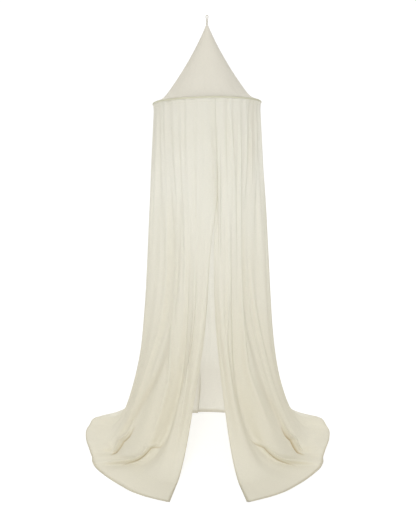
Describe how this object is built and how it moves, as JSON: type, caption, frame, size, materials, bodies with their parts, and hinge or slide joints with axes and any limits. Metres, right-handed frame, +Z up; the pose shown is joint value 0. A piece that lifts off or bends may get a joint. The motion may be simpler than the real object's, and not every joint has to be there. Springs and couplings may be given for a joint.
{
  "type": "bed canopy with hoop",
  "caption": "Sheer muslin bed canopy: a plain cone roof on a cased round hoop, with a long curtain that opens at the front and trails on the floor.",
  "frame": {"origin": "top of the hanging loop, where a ceiling hook carries the canopy", "axes": "+Z up, the front opening faces -Y, +X to the right seen from the front; the floor that the curtain trails on is at z = -1.990 m"},
  "size_m": [1.2201, 0.9259, 1.99],
  "materials": {
    "loop_cord": "twisted natural cotton cord, matt",
    "roof_cotton": "plain-woven ivory cotton, opaque and matt",
    "hoop_rod": "plain white rod",
    "casing_cotton": "sewn cotton tunnel, matt",
    "curtain_muslin": "soft ivory muslin, slightly sheer, with sewn hems"
  },
  "bodies": {
    "root": {"hanging_loop": "loop_cord", "roof": "roof_cotton", "hoop": "hoop_rod", "hoop_casing": "casing_cotton", "curtain": "curtain_muslin"}
  },
  "joints": []
}
